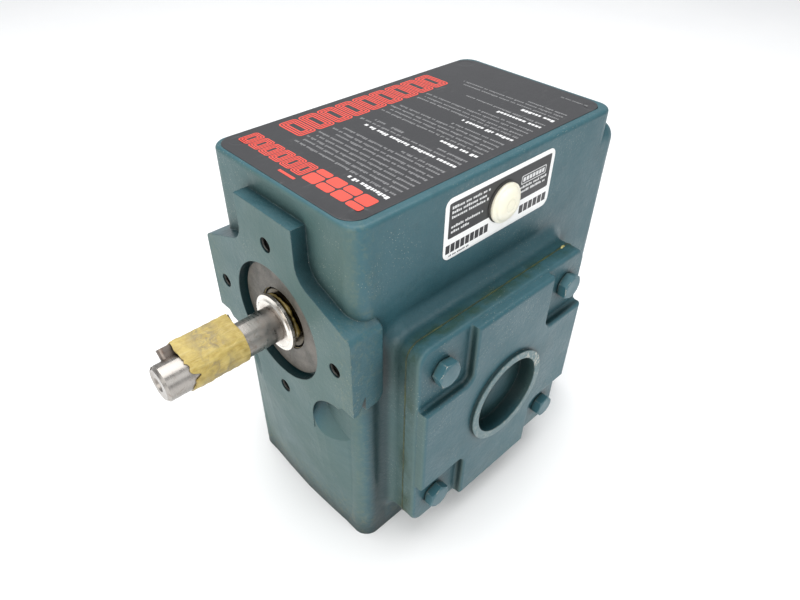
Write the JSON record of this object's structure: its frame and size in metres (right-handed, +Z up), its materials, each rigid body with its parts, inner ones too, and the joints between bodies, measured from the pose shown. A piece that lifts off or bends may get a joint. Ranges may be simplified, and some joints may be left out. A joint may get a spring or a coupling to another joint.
{
  "type": "worm gearbox",
  "caption": "Right-angle worm gearbox: box-shaped painted cast housing, keyed input shaft through a cross-shaped flange, blind bearing cover, keyed output shaft.",
  "frame": {"origin": "on the base's flat face, straight below the point where the output axis crosses the housing's middle plane", "axes": "+Z up; X along the worm shaft, whose free end points to -X; +Y along the output shaft towards its free end"},
  "size_m": [0.3235, 0.2643, 0.2654],
  "materials": {
    "paint": "satin machine enamel over cast iron",
    "gasket": "compressed gasket with sealant",
    "steel": "turned steel",
    "ground_steel": "ground steel",
    "dark_steel": "oily dark steel",
    "rubber": "oil resistant rubber",
    "brass": "plain",
    "cream_plastic": "moulded",
    "black_vinyl": null,
    "white_vinyl": null,
    "tape": "crepe masking tape",
    "bronze": "hobbed bronze",
    "iron": "machined casting"
  },
  "bodies": {
    "body": {"housing": "paint", "gasket_blind": "gasket", "gasket_output": "gasket", "cover_blind": "paint", "cover_output": "paint", "bolts_blind": "paint", "bolts_output": "paint", "race_input_outer": "steel", "race_rear_outer": "steel", "race_blind_outer": "steel", "race_output_outer": "steel", "seal_carrier": "dark_steel", "input_seal": "rubber", "cap_rear": "dark_steel", "ring_rear": "dark_steel", "output_seal": "rubber", "plugs": "dark_steel", "bladder": "rubber", "vent_tube": "brass", "vent_button": "cream_plastic", "deck_plate": "black_vinyl", "side_label": "white_vinyl"},
    "worm": {"worm_shaft": "steel", "seal_sleeve": "ground_steel", "input_key": "dark_steel", "key_tape": "tape", "race_input_inner": "steel", "balls_input": "steel", "race_rear_inner": "steel", "balls_rear": "steel", "worm_nut": "steel"},
    "output": {"output_shaft": "steel", "wheel_rim": "bronze", "wheel_hub": "iron", "wheel_key": "steel", "race_blind_inner": "steel", "balls_blind": "steel", "race_output_inner": "steel", "balls_output": "steel", "spacer_blind": "steel", "spacer_output": "steel"}
  },
  "joints": [
    {"name": "output_spin", "type": "hinge", "parent": "body", "child": "output", "pos_m": [0, 0, 0.10795], "axis": [0, 1, 0], "continuous": true},
    {"name": "worm_spin", "type": "hinge", "parent": "body", "child": "worm", "pos_m": [0, 0, 0.17463], "axis": [1, 0, 0], "continuous": true}
  ],
  "couplings": [
    {"joint": "worm_spin", "follows": "output_spin", "ratio": -30}
  ]
}
